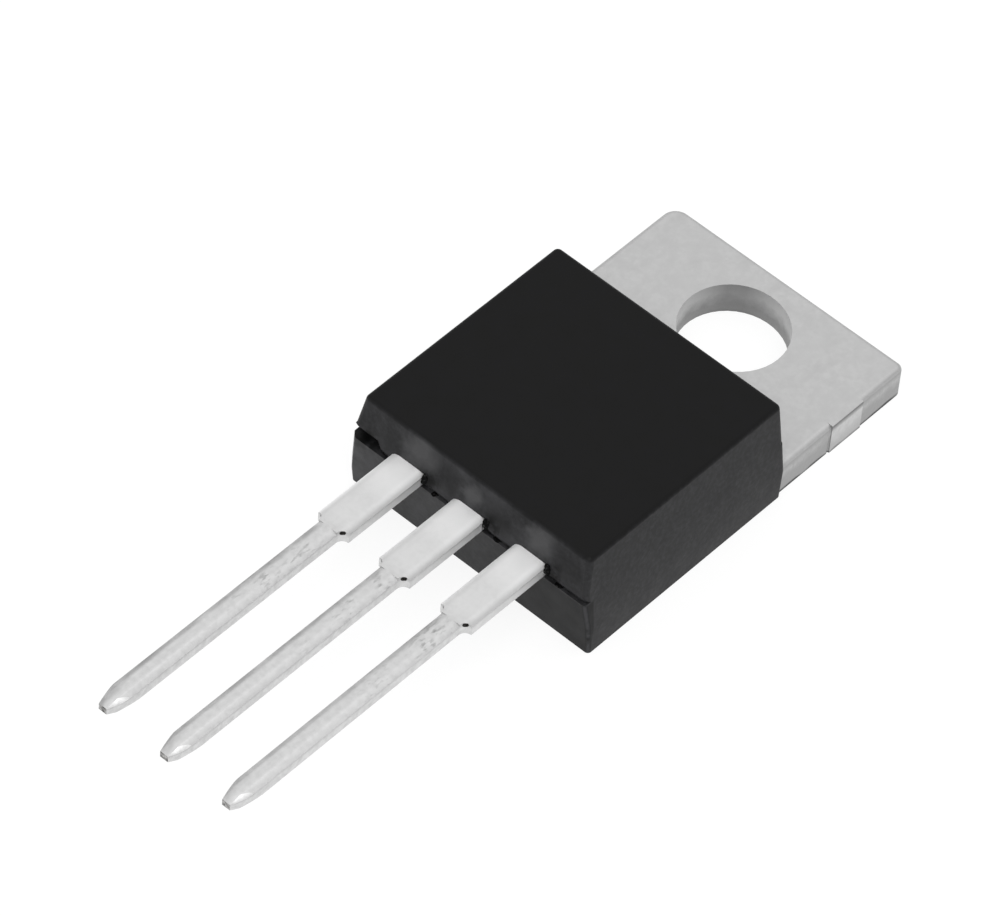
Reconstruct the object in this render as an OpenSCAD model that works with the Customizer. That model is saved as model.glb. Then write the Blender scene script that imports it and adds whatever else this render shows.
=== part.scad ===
// N-channel power MOSFET in a three-lead through-hole package.
//
// The origin is the centre of the tab's hole, on the flat metal back. X runs across the
// package, +Y towards the free end of the tab, +Z up from the back to the moulded top.
// Seen from the top with the leads towards you, the leads are gate, drain and source,
// from left to right. The drain lead is one piece with the heat-sink tab.

/* [Moulded body] */
// Width of the body at its widest, level with the top of the tab
body_w = 10; // [8.3:0.1:12.5]
// Length of the body, from the lead side to the tab side
body_l = 9.38; // [7.8:0.1:12]
// Height of the body above the metal back
body_h = 4.2; // [4.1:0.05:5.5]
// How far each side leans in, from the widest level up to the top
side_draft_top = 0.32; // [0:0.01:0.5]
// How far each side leans in, from the widest level down to the back
side_draft_back = 0.03; // [0:0.01:0.1]
// How far the upper front face leans back, from its brow up to the body's top
front_draft_top = 0.25; // [0:0.01:0.45]
// How far the lower front face leans back, from the leads down to the back
front_draft_back = 0.32; // [0:0.01:0.5]
// How far the rear face leans in, from the tab up to the top
rear_draft_top = 0.15; // [0:0.01:0.4]
// Depth of the ledge under the leads, where the upper mould half stands back
ledge_d = 0.13; // [0.1:0.01:0.4]
// Depth to which the upper front face has come out again at its brow, above the ledge
brow_d = 0.05; // [0:0.01:0.1]
// Height of that brow above the ledge
brow_h = 0.25; // [0.1:0.01:0.45]
// Width of the gap that the trimmed resin left at the right side of each lead
flash_gap = 0.09; // [0.03:0.01:0.15]
// How far those gaps reach in behind the ledge's edge
flash_gap_d = 0.4; // [0.2:0.05:0.6]
// Radius of the body's upright corners above the ledge
corner_r = 0.2; // [0.2:0.01:0.4]
// Radius of the body's upright corners below the ledge
lower_corner_r = 0.14; // [0.05:0.01:0.4]
// Radius of the edge round the top face
top_edge_r = 0.18; // [0.04:0.01:0.2]
// Length along the front of the broken place where the resin was let in
gate_scar_l = 1.55; // [1.2:0.05:1.8]
// Depth of that scar at the corner
gate_scar_d = 0.46; // [0.3:0.02:0.8]
// Height of that scar above the ledge
gate_scar_h = 0.48; // [0.2:0.02:0.6]
// How far its right end slants towards the corner over that height
gate_scar_slant = 0.35; // [0:0.05:0.45]
// Length of the scar's deeper part
gate_scar_deep_l = 0.93; // [0.5:0.01:1.1]
// Depth of the scar where that part ends
gate_scar_deep_d = 0.36; // [0.2:0.02:0.6]
// How far the break bevels the corner below, diagonally from the square corner
gate_bevel = 0.24; // [0.1:0.01:0.4]

/* [Heat-sink tab] */
// Thickness of the tab
tab_t = 1.27; // [1:0.01:1.55]
// Width of the tab's free end
tab_w = 9.72; // [8:0.02:12]
// Length of the tab that stands out of the body
tab_out = 6.01; // [5:0.01:7.3]
// Distance from the hole's centre to the tab's free end
hole_to_end = 2.69; // [2.2:0.01:3.3]
// Diameter of the hole
hole_d = 3.7; // [3:0.05:4.5]
// Radius of the tab's right free corner
tab_right_r = 0.25; // [0.25:0.05:1.5]
// Radius of the tab's left free corner
tab_left_r = 0.55; // [0.25:0.05:1.5]
// Radius rolled on the tab's upper edges when it was punched
tab_roll_r = 0.2; // [0.03:0.01:0.25]
// Distance from the free end to the stub of the cut tie bar
tie_from_end = 2.09; // [1.5:0.01:2.4]
// Length of the tie-bar stub along the tab's right side
tie_l = 1.5; // [0.8:0.05:1.9]
// How far the tie-bar stub stands out of the tab's side
tie_out = 0.04; // [0:0.01:0.1]
// Radius of the relief between that stub and the body
tie_relief_r = 0.05; // [0.03:0.01:0.2]
// Length of resin in front of the metal pad, seen from the back
pad_front_cover = 3; // [2.7:0.05:3.6]
// Width of resin beside the metal pad, seen from the back
pad_side_cover = 1; // [0.7:0.05:1.5]
// How far the pad's upper part overhangs, so that the resin grips it
pad_lock = 0.3; // [0.1:0.05:0.5]
// Height of the pad's narrower lower part
pad_lock_z = 0.45; // [0.3:0.05:0.8]
// Width of the groove across the pad that stops damp creeping in
groove_w = 0.4; // [0.2:0.05:0.6]
// Depth of that groove
groove_d = 0.15; // [0.05:0.01:0.25]
// Distance from the body's rear face to that groove's middle
groove_from_rear = 0.6; // [0.4:0.05:0.9]

/* [Leads] */
// Spacing of the leads, centre to centre
lead_pitch = 2.54; // [2.2:0.02:3.05]
// Thickness of the lead metal
lead_t = 0.5; // [0.4:0.01:0.6]
// Height of the leads' underside above the metal back
lead_z = 2.48; // [2.1:0.01:2.7]
// Length of the leads out of the body
lead_l = 13.3; // [8:0.1:16]
// Width of the narrow part that goes through the board
pin_w = 0.74; // [0.6:0.02:0.9]
// Width of the broad part next to the body
lead_w = 1.28; // [1.05:0.02:1.54]
// Length of that broad part, from the body to the shoulder
broad_l = 3.18; // [2:0.02:4]
// Length of the shoulder between broad and narrow
shoulder_l = 0.34; // [0.34:0.01:0.6]
// Radius rolled on the leads' upper edges when they were punched
lead_roll_r = 0.42; // [0.3:0.01:0.48]
// How far in from each side that roll begins
lead_roll_w = 0.29; // [0.05:0.01:0.29]
// Width of the pit that the tie-bar cutter left in each shoulder's hollow
nick_w = 0.2; // [0.12:0.01:0.24]
// Height of that pit
nick_h = 0.12; // [0.05:0.01:0.14]
// Depth of that pit, slanting down into the metal
nick_d = 0.2; // [0.1:0.01:0.25]
// Length of the taper at the tip
tip_l = 0.95; // [0.4:0.01:1.3]
// Width left at the end of the tip
tip_w = 0.32; // [0.2:0.01:0.5]
// Thickness left at the end of the tip
tip_t = 0.26; // [0.15:0.01:0.35]
// Length of the bevels that run out of the tip's four long edges
tip_bevel_l = 1.2; // [0.6:0.05:1.6]
// How deep the two upper bevels cut at the very end
tip_bevel = 0.24; // [0.05:0.01:0.27]
// How deep the two lower bevels cut there
tip_bevel_under = 0.14; // [0.05:0.01:0.27]

/* [Inside the body] */
// Width of the silicon die
die_w = 4.2; // [3.4:0.05:5.1]
// Length of the silicon die
die_l = 3.4; // [2.8:0.05:3.6]
// Thickness of the silicon die
die_t = 0.25; // [0.1:0.01:0.35]
// Distance from the front edge of the pad to the die
die_setback = 0.9; // [0.5:0.05:1]
// Thickness of the solder under the die
solder_t = 0.05; // [0.03:0.01:0.1]
// How far the solder spreads past the die's edges
solder_spread = 0.12; // [0.05:0.01:0.25]
// Width of the gate lead's bond post
gate_post_w = 1.7; // [1.4:0.05:1.9]
// Length of both bond posts
post_l = 1.6; // [1.4:0.05:1.75]
// Thickness of resin between the front ledge and the bond posts
post_front_cover = 0.75; // [0.5:0.05:0.9]
// Diameter of the hole through each bond post, which the resin fills
post_hole_d = 0.5; // [0.4:0.05:0.6]
// Distance from a bond post's front edge to the middle of that hole
post_hole_in = 0.4; // [0.35:0.05:0.45]
// Thickness of resin beside the source lead's bond post
post_side_cover = 0.6; // [0.4:0.05:0.8]
// Gap between the source lead's bond post and the drain lead's neck
post_gap = 0.5; // [0.4:0.05:0.7]
// Width of the drain lead's neck inside the body
neck_w = 2.2; // [1.7:0.05:2.4]
// Length of resin over the drain lead before it widens into its neck
neck_cover = 0.6; // [0.55:0.05:0.7]
// Distance from the lead side of the body to the bend in that neck
neck_run = 1.2; // [1.1:0.05:1.35]
// Diameter of the gate's bond wire
gate_wire_d = 0.15; // [0.1:0.01:0.2]
// Diameter of each source bond wire
source_wire_d = 0.38; // [0.25:0.01:0.45]
// Distance between the two source wires on the die
source_wire_pitch = 1.1; // [0.8:0.05:1.4]
// Distance from the die's left edge to the gate wire's foot
gate_foot_side = 0.35; // [0.3:0.05:0.6]
// Distance from the die's front edge to the gate wire's foot
gate_foot_in = 0.5; // [0.4:0.05:0.8]
// Distance from the die's front edge to the source wires' feet
source_foot_in = 1.5; // [1.2:0.05:1.9]
// Distance from the bond post's sides to the source wires' feet
post_foot_side = 0.6; // [0.45:0.05:0.7]
// How far behind the middle of its post each wire's foot stands
post_foot_back = 0.15; // [0:0.05:0.25]
// Length of each wire's flattened foot
wire_foot_l = 0.6; // [0.4:0.05:0.65]
// Width of a foot, in wire diameters
foot_spread = 1.4; // [1.2:0.05:1.5]
// Height of a foot, in wire diameters
foot_press = 0.5; // [0.35:0.05:0.6]
// Thickness of resin over the wires' loops
wire_cover = 0.5; // [0.35:0.05:0.55]

/* [Hidden] */
$fn = 64;
hull_fn = 32;       // facets round the corners that the hulls blend
skin = 0.001;       // thickness of the thin slices that the hulls join
past = 1;           // how far a cutter runs past the face that it cuts
join = 0.2;         // how far two shapes of one piece run into each other

resin_grey = "#2b2b2d";
plated_grey = "#bdbdbd";
tinned_grey = "#d3d3d3";
solder_grey = "#8f9296";
silicon_grey = "#5b5f6b";
wire_grey = "#cfd2d6";

tab_end_y = hole_to_end;
rear_y = tab_end_y - tab_out;
front_y = rear_y - body_l;
tip_y = front_y - lead_l;
lead_top = lead_z + lead_t;
pad_front_y = front_y + pad_front_cover;
pad_w = body_w - 2 * pad_side_cover;

die_y = pad_front_y + die_setback + die_l / 2;
die_z = tab_t + solder_t;
die_top = die_z + die_t;

post_y = front_y + post_front_cover;
post_mid_y = post_y + post_l / 2;

// Half the body's width at a height between the tab's top and the body's top
function half_w(z) = body_w / 2 - side_draft_top * (z - tab_t) / (body_h - tab_t);
// Where the rear face stands at such a height
function rear_at(z) = rear_y - rear_draft_top * (z - tab_t) / (body_h - tab_t);
// Where the lower front face stands at a height below the leads
function lower_front_at(z) = front_y + front_draft_back * (1 - z / lead_z);

post_out_x = half_w(lead_top) - post_side_cover;
post_in_x = neck_w / 2 + post_gap;

// Four upright discs at the corners of a rectangle, as thin slices for a hull
module corner_slices(z, half_width, y_front, y_rear, r) {
    for (x = [-half_width + r, half_width - r], y = [y_front + r, y_rear - r])
        translate([x, y, z]) cylinder(r = r, h = skin, $fn = hull_fn);
}

// A disc whose upper rim is rounded, for the corners of the body's top face
module rimmed_disc(r, rim_r) {
    rotate_extrude($fn = hull_fn) {
        square([r - rim_r, 2 * rim_r]);
        translate([r - rim_r, rim_r]) intersection() {
            circle(rim_r, $fn = hull_fn);
            square(rim_r);
        }
        square([r, rim_r]);
    }
}

// Lower mould half: widest level with the tab's top, with the ledge as its front top
module lower_half() {
    r = lower_corner_r;
    hull() {
        corner_slices(0, body_w / 2 - side_draft_back, lower_front_at(0), rear_y, r);
        corner_slices(tab_t, body_w / 2, lower_front_at(tab_t), rear_y, r);
    }
    hull() {
        corner_slices(tab_t, body_w / 2, lower_front_at(tab_t), rear_y, r);
        corner_slices(lead_z - skin, half_w(lead_z), front_y, rear_at(lead_z), r);
    }
}

// Upper mould half: stands back from the ledge, comes out again to a brow above it, and
// narrows from there to the rounded top edge
module upper_half() {
    z_brow = lead_z + brow_h;
    z_rim = body_h - 2 * top_edge_r;
    top_front = front_y + brow_d + front_draft_top;
    hull() {
        corner_slices(lead_z - skin, half_w(lead_z), front_y + ledge_d, rear_at(lead_z), corner_r);
        corner_slices(z_brow, half_w(z_brow), front_y + brow_d, rear_at(z_brow), corner_r);
        for (side = [-1, 1], y = [top_front + corner_r, rear_at(body_h) - corner_r])
            translate([side * (half_w(body_h) - corner_r), y, z_rim])
                rimmed_disc(corner_r, top_edge_r);
    }
}

// Hollow broken out of the left front corner above the ledge, where the resin was let in,
// and the bevel that the break left on the corner below it
module gate_scar() {
    corner_x = -body_w / 2;
    scar_top = lead_z + gate_scar_h;
    intersection() {
        translate([0, 0, lead_z]) linear_extrude(gate_scar_h)
            polygon([[corner_x - past, front_y - past],
                     [corner_x + gate_scar_l, front_y - past],
                     [corner_x + gate_scar_l, front_y + brow_d],
                     [corner_x + gate_scar_deep_l, front_y + gate_scar_deep_d],
                     [corner_x, front_y + gate_scar_d],
                     [corner_x - past, front_y + gate_scar_d]]);
        translate([0, front_y + past, 0]) rotate([90, 0, 0]) linear_extrude(3 * past)
            polygon([[corner_x - 2 * past, lead_z], [corner_x + gate_scar_l, lead_z],
                     [corner_x + gate_scar_l - gate_scar_slant, scar_top],
                     [corner_x - 2 * past, scar_top]]);
    }
    translate([corner_x, front_y, 0]) rotate([0, 0, 45])
        translate([gate_bevel - 2 * past, -past, -past]) cube([2 * past, 2 * past, past + scar_top]);
}

// Gaps in the resin at the right side of each lead, where it comes out over the ledge
module flash_gaps() {
    for (lead = [-1, 0, 1])
        translate([lead * lead_pitch, front_y - past, lead_z])
            cube([lead_w / 2 + flash_gap, past + flash_gap_d, lead_t]);
}

// Section of a punched lead, whose upper edges bend down a little towards the sides
module rolled_section(w) {
    r = lead_roll_r;
    difference() {
        translate([-w / 2, 0]) square([w, lead_t]);
        for (side = [0, 1])
            mirror([side, 0]) translate([w / 2 - lead_roll_w, lead_t - r]) difference() {
                square(r + past);
                circle(r);
            }
    }
}

// A length of such a lead, lying along Y
module rolled_bar(w, y0, y1) {
    translate([0, y1, 0]) rotate([90, 0, 0]) linear_extrude(y1 - y0) rolled_section(w);
}

// The concave fillet at one side of a lead's shoulder, drawn with the shoulder's foot at 0
module shoulder_fillet() {
    r = (lead_w - pin_w) / 2;
    difference() {
        square([r, shoulder_l]);
        translate([r, 0]) circle(r);
    }
}

// Outline of the tapered tip, which bellies out a little before it reaches the pin's width
module tip_outline() {
    steps = 8;
    function belly(t) = sin(90 * t);        // 0 at the very end, 1 where the pin's width starts
    half = [for (i = [0 : steps]) tip_w / 2 + (pin_w - tip_w) / 2 * belly(i / steps)];
    polygon([for (i = [0 : steps]) [half[i], tip_y + tip_l * i / steps],
             for (i = [steps : -1 : 0]) [-half[i], tip_y + tip_l * i / steps]]);
}

// Pit of the tie-bar cutter at the middle of a shoulder's hollow: a slot with round ends
// that slants down into the metal from just under the hollow's upper edge
module shoulder_pit() {
    r = (lead_w - pin_w) / 2;
    arc = r / sqrt(2);              // how far along X and Y the hollow's middle is from its centre
    translate([pin_w / 2 + r - arc, front_y - broad_l - shoulder_l + arc, lead_t - nick_h])
        rotate([0, 0, 45]) rotate([-135, 0, 0]) translate([0, 0, -nick_d])
            linear_extrude(2 * nick_d) {
                square([nick_w - nick_h, nick_h], center = true);
                for (side = [-1, 1])
                    translate([side * (nick_w - nick_h) / 2, 0]) circle(d = nick_h);
            }
}

// Outline of a lead seen from above, from the tip to y_in inside the body
module lead_outline(y_in) {
    shoulder_y = front_y - broad_l;
    translate([-lead_w / 2, shoulder_y]) square([lead_w, y_in - shoulder_y]);
    translate([-pin_w / 2, tip_y + tip_l]) square([pin_w, shoulder_y - tip_y - tip_l]);
    tip_outline();
    for (side = [0, 1])
        mirror([side, 0]) translate([pin_w / 2, shoulder_y - shoulder_l]) shoulder_fillet();
}

// The taper in thickness at the tip, seen from the side and centred on the metal
module tip_side(y_in) {
    thin = tip_t / 2;
    full = lead_t / 2;
    polygon([[tip_y, -thin], [tip_y + tip_l / 2, -full], [y_in, -full],
             [y_in, full], [tip_y + tip_l / 2, full], [tip_y, thin]]);
}

// What one upper and one lower bevel on the tip's long edges leave, seen along the lead's
// own diagonal. The lower one is on this shape's -Y side, the upper one on its +Y side.
module tip_diagonal(y_in) {
    edge = (pin_w + lead_t) / (2 * sqrt(2));        // from the lead's middle to a square edge
    polygon([[tip_y, tip_bevel_under - edge], [tip_y + tip_bevel_l, -edge],
             [tip_y + tip_bevel_l, -lead_w], [y_in, -lead_w], [y_in, lead_w],
             [tip_y + tip_bevel_l, lead_w], [tip_y + tip_bevel_l, edge],
             [tip_y, edge - tip_bevel]]);
}

// Extrude a shape drawn in the YZ plane sideways, to half its width on each side
module across(width) {
    rotate([90, 0, 90]) translate([0, 0, -width / 2]) linear_extrude(width) children();
}

// A flat lead along Y, from its tip to y_in, with its underside at lead_z
module lead_blade(y_in) {
    foot_y = front_y - broad_l - shoulder_l;
    reach = 4 * lead_w;
    translate([0, 0, lead_z]) difference() {
        intersection() {
            union() {
                rolled_bar(pin_w, tip_y, foot_y + join);
                rolled_bar(lead_w, foot_y, y_in);
            }
            linear_extrude(lead_t) lead_outline(y_in);
            translate([0, 0, lead_t / 2]) intersection() {
                across(reach) tip_side(y_in);
                rotate([0, 45, 0]) across(reach) tip_diagonal(y_in);
                rotate([0, -45, 0]) across(reach) tip_diagonal(y_in);
            }
        }
        for (side = [0, 1]) mirror([side, 0, 0]) shoulder_pit();
    }
}

// A round corner of the tab, with its upper rim rolled
module rolled_corner(r) {
    roll = tab_roll_r;
    rotate_extrude() {
        square([r - roll, tab_t]);
        square([r, tab_t - roll]);
        translate([r - roll, tab_t - roll]) intersection() {
            circle(roll);
            square(roll);
        }
    }
}

// The free end's rolled upper edge, seen from the side
module tab_end_side() {
    r = tab_roll_r;
    translate([rear_y, 0]) square([tab_out - r, tab_t]);
    translate([tab_end_y - 2 * r, 0]) square([2 * r, tab_t - r]);
    translate([tab_end_y - r, tab_t - r]) circle(r);
}

// One side of the tab outside the body, with the free corner's radius, drawn at the right.
// It runs past the middle, so that the two sides join.
module tab_side(r) {
    roll = tab_roll_r;
    translate([0, tab_end_y - r, 0]) rotate([90, 0, 0]) linear_extrude(tab_out - r) {
        translate([-past, 0]) square([tab_w / 2 + past - roll, tab_t]);
        translate([-past, 0]) square([tab_w / 2 + past, tab_t - roll]);
        translate([tab_w / 2 - roll, tab_t - roll]) circle(roll);
    }
    translate([-past, 0, 0]) rotate([90, 0, 90]) linear_extrude(tab_w / 2 + past - r)
        tab_end_side();
    translate([tab_w / 2 - r, tab_end_y - r, 0]) rolled_corner(r);
}

// The tab outside the body, with the stub of the cut tie bar at its right side
module tab_plate() {
    tie_y = tab_end_y - tie_from_end - tie_l;
    difference() {
        union() {
            tab_side(tab_right_r);
            mirror([1, 0, 0]) tab_side(tab_left_r);
            translate([0, tie_y, 0]) cube([tab_w / 2 + tie_out, tie_l, tab_t]);
        }
        translate([tab_w / 2 + tie_relief_r / 2, tie_y - tie_relief_r, -past])
            cylinder(r = tie_relief_r, h = tab_t + 2 * past);
        translate([0, 0, -past]) cylinder(d = hole_d, h = tab_t + 2 * past);
    }
}

// The metal pad under the die, flush with the body's back and gripped by the resin
module pad() {
    lock_w = pad_w + 2 * pad_lock;
    lock_y = pad_front_y - pad_lock;
    y_in = rear_y + join;
    difference() {
        union() {
            translate([-pad_w / 2, pad_front_y, 0]) cube([pad_w, y_in - pad_front_y, tab_t]);
            translate([-lock_w / 2, lock_y, pad_lock_z])
                cube([lock_w, y_in - lock_y, tab_t - pad_lock_z]);
        }
        translate([0, rear_y - groove_from_rear, tab_t]) across(body_w)
            polygon([[-groove_w / 2, 0], [0, -groove_d], [groove_w / 2, 0],
                     [groove_w / 2, past], [-groove_w / 2, past]]);
    }
}

// The drain lead's neck inside the body, bent down from the leads' level to the pad. The
// lead's blade runs on into the neck's level stretch, as far as the bend.
module drain_neck() {
    y_neck = front_y + neck_cover;
    y_bend = front_y + neck_run;
    y_pad = pad_front_y - pad_lock;
    drop = atan((lead_top - tab_t) / (y_pad - y_bend));
    inset = lead_t * tan(drop / 2);         // how far a bend's inner corner lags its outer one
    across(neck_w) polygon([[y_neck, lead_z], [y_bend - inset, lead_z],
                            [y_pad - inset, tab_t - lead_t], [y_pad + join, tab_t - lead_t],
                            [y_pad + join, tab_t], [y_pad, tab_t], [y_bend, lead_top],
                            [y_neck, lead_top]]);
    lead_blade(y_bend - inset);
}

module heat_sink_tab() {
    color(plated_grey) {
        tab_plate();
        pad();
        drain_neck();
    }
}

// A bond post: the broad end of a lead inside the body, with a hole that the resin fills
module bond_post(x_left, x_right) {
    translate([0, 0, lead_z]) linear_extrude(lead_t) difference() {
        translate([x_left, post_y]) square([x_right - x_left, post_l]);
        translate([(x_left + x_right) / 2, post_y + post_hole_in]) circle(d = post_hole_d);
    }
}

module gate_lead() {
    color(tinned_grey) {
        translate([-lead_pitch, 0, 0]) lead_blade(post_mid_y);
        bond_post(-lead_pitch - gate_post_w / 2, -lead_pitch + gate_post_w / 2);
    }
}

module source_lead() {
    color(tinned_grey) {
        translate([lead_pitch, 0, 0]) lead_blade(post_mid_y);
        bond_post(post_in_x, post_out_x);
    }
}

module die_attach_solder() {
    w = die_w + 2 * solder_spread;
    l = die_l + 2 * solder_spread;
    color(solder_grey) translate([-w / 2, die_y - l / 2, tab_t]) cube([w, l, solder_t]);
}

module silicon_die() {
    color(silicon_grey) translate([-die_w / 2, die_y - die_l / 2, die_z]) cube([die_w, die_l, die_t]);
}

// One end of a wire, pressed flat on its pad: a slab with round ends, standing on the pad
module wire_foot(d) {
    w = foot_spread * d;
    linear_extrude(foot_press * d) {
        translate([-(wire_foot_l - w) / 2, -w / 2]) square([wire_foot_l - w, w]);
        for (side = [-1, 1]) translate([side * (wire_foot_l - w) / 2, 0]) circle(d = w);
    }
}

// A bonded wire between the middles of its two feet. Its loop is one arc, whose crown lies
// just under the resin's cover: drop_a and drop_b are how far each end lies below the crown,
// and both ends are on one circle where run_a^2/drop_a + drop_a equals the same for b.
module bond_wire(d, foot_a, foot_b) {
    step = foot_b - foot_a;
    span = norm([step.x, step.y]);
    mid_foot = foot_press * d / 2;
    crown_z = body_h - wire_cover - d / 2 - foot_a.z;
    drop_a = crown_z - mid_foot;
    drop_b = crown_z - mid_foot - step.z;
    qa = 1 / drop_a - 1 / drop_b;
    qb = 2 * span / drop_b;
    qc = drop_a - drop_b - span * span / drop_b;
    run_a = (-qb + sqrt(qb * qb - 4 * qa * qc)) / (2 * qa);
    r = (run_a * run_a / drop_a + drop_a) / 2;
    angle_a = acos(1 - drop_a / r);
    angle_b = acos(1 - drop_b / r);
    translate(foot_a) rotate([0, 0, atan2(step.y, step.x)]) difference() {
        union() {
            wire_foot(d);
            translate([span, 0, step.z]) wire_foot(d);
            translate([run_a, 0, crown_z - r]) rotate([90, 0, 0]) rotate([0, 0, 90 - angle_b])
                rotate_extrude(angle = angle_a + angle_b) translate([r, 0]) circle(d = d);
        }
        translate([-past, -past, -past]) cube([past + wire_foot_l / 2, 2 * past, past]);
        translate([span - wire_foot_l / 2, -past, step.z - past]) cube([2 * past, 2 * past, past]);
    }
}

// Middle of a foot on the die, at x and so far behind its front edge
function on_die(x, from_edge) = [x, die_y - die_l / 2 + from_edge, die_top];
// Middle of a foot on a bond post, at x
function on_post(x) = [x, post_mid_y + post_foot_back, lead_top];

module gate_wire() {
    color(wire_grey)
        bond_wire(gate_wire_d, on_die(gate_foot_side - die_w / 2, gate_foot_in),
                  on_post(-lead_pitch));
}

module source_wire_inner() {
    color(wire_grey)
        bond_wire(source_wire_d, on_die(0, source_foot_in), on_post(post_in_x + post_foot_side));
}

module source_wire_outer() {
    color(wire_grey)
        bond_wire(source_wire_d, on_die(source_wire_pitch, source_foot_in),
                  on_post(post_out_x - post_foot_side));
}

module moulded_body() {
    color(resin_grey) difference() {
        union() {
            lower_half();
            upper_half();
        }
        gate_scar();
        flash_gaps();
        heat_sink_tab();
        gate_lead();
        source_lead();
        die_attach_solder();
        silicon_die();
        gate_wire();
        source_wire_inner();
        source_wire_outer();
    }
}

moulded_body();
heat_sink_tab();
gate_lead();
source_lead();
die_attach_solder();
silicon_die();
gate_wire();
source_wire_inner();
source_wire_outer();
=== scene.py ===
# %% [markdown]
# # A three-lead power transistor
# The part is a slab of black resin moulded over a thick metal tab, with three flat leads
# coming out of one side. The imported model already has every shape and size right, so this
# lesson keeps its measures, cleans its meshes so that rounded edges shade smoothly, adds
# the small marks that making leaves behind, and gives each metal and the resin its finish.

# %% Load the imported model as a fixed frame
import math

import bmesh
import bpy
from mathutils import Matrix, Vector, noise


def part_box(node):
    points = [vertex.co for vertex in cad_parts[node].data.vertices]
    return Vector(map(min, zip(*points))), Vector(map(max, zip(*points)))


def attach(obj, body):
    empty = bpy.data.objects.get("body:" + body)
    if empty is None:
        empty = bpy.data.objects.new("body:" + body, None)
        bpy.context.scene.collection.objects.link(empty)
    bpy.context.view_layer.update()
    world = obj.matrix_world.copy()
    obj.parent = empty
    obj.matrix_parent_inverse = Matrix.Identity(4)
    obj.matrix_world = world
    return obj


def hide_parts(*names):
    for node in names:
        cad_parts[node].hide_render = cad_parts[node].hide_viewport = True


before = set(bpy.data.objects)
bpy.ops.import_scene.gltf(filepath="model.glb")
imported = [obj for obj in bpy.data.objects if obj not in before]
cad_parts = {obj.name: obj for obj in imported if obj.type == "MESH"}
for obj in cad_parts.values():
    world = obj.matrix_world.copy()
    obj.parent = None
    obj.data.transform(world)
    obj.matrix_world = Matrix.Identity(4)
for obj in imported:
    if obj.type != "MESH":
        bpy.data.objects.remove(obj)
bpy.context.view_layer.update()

MM = 0.001
print("CAD nodes:", ", ".join(sorted(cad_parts)))

# %% [markdown]
# ## Measures
# A finish that sits at a place, such as a painted highlight along an edge or a painted shadow,
# has to know where that place is. What the imported model can tell is read from its boxes, and
# the rest is written here once.

# %% Measures that the finishes need
BODY_LOW, BODY_HIGH = map(Vector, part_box("moulded_body"))
LEAD_LOW = Vector(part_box("gate_lead")[0])
TAB_HIGH = Vector(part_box("heat_sink_tab")[1])
TAB_T = 1.27 * MM
HOLE_R = 1.85 * MM
LEAD_PITCH = 2.54 * MM
LEDGE_Z = LEAD_LOW.z                    # the body's ledge is level with the leads' undersides
LEAD_TOP = LEDGE_Z + 0.5 * MM
ROLL_FOOT = LEDGE_Z + 0.384 * MM        # where a lead's rolled upper edge meets its side
TIP_Y = LEAD_LOW.y
SHOULDER_Y = BODY_LOW.y - 3.52 * MM     # where a lead has become narrow
print("leads from y =", round(TIP_Y / MM, 2), "to", round(BODY_LOW.y / MM, 2), "mm")

# %% [markdown]
# ## The camera
# A long lens from far away keeps parallel edges nearly parallel, as a product picture
# does. The camera stands on a sphere round a point on the part: azimuth and elevation say
# where, and roll turns the picture about the line of sight.

# %% Place the camera
AZIMUTH, ELEVATION, ROLL = map(math.radians, (38.031, 49.351, 5.575))
DISTANCE = 217.386 * MM
TARGET = Vector((-1.459, -9.459, 1.5)) * MM
LENS, SENSOR = 252.17, 36       # the focal length and the sensor's width, both in mm

back = Vector((math.sin(AZIMUTH) * math.cos(ELEVATION),
               -math.cos(AZIMUTH) * math.cos(ELEVATION), math.sin(ELEVATION)))
level_right = (-back).cross(Vector((0, 0, 1))).normalized()
level_up = level_right.cross(-back)
right = level_right * math.cos(ROLL) + level_up * math.sin(ROLL)
up = level_up * math.cos(ROLL) - level_right * math.sin(ROLL)

camera = bpy.data.objects.new("camera", bpy.data.cameras.new("camera"))
camera.data.lens = LENS
camera.data.sensor_width = SENSOR
camera.data.clip_start = 10 * MM
camera.matrix_world = (Matrix.Translation(TARGET + back * DISTANCE)
                       @ Matrix((right, up, back)).transposed().to_4x4())
bpy.context.scene.collection.objects.link(camera)
bpy.context.scene.camera = camera
print("camera at", [round(c / MM, 1) for c in camera.location], "mm")

# %% [markdown]
# ## Helpers for materials
# Colours are written as sRGB hex, the way a paint program shows them, and the shaders want
# linear light, so one function turns one into the other. A second one adds a node, sets
# its options and feeds its sockets from a value or from another node's output.

# %% Colour and node helpers
def linear(hex_colour):
    """An sRGB colour such as "#8090a0" as linear red, green, blue and alpha."""
    values = [int(hex_colour[i:i + 2], 16) / 255 for i in (1, 3, 5)]
    return [v / 12.92 if v <= 0.04045 else ((v + 0.055) / 1.055) ** 2.4 for v in values] + [1]


def add(tree, kind, sockets=None, **settings):
    """Adds a node. sockets gives each input, by name or number, a value or an output."""
    made = tree.nodes.new(kind)
    for name, value in settings.items():
        setattr(made, name, value)
    for name, value in (sockets or {}).items():
        if isinstance(value, bpy.types.NodeSocket):
            tree.links.new(value, made.inputs[name])
        else:
            made.inputs[name].default_value = value
    return made


def new_material(name, **sockets):
    """A material with one Principled shader; its even values are set on its own sockets."""
    material = bpy.data.materials.new(name)
    material.use_nodes = True
    shader = material.node_tree.nodes["Principled BSDF"]
    for socket, value in sockets.items():
        shader.inputs[socket.replace("_", " ")].default_value = value
    return material, material.node_tree, shader


def feed(tree, shader, **outputs):
    """Links outputs to a shader's sockets, whose spaces are written as _ here."""
    for socket, output in outputs.items():
        tree.links.new(output, shader.inputs[socket.replace("_", " ")])


print("black resin #202020 is", [round(v, 4) for v in linear("#202020")[:3]], "in linear light")

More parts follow.
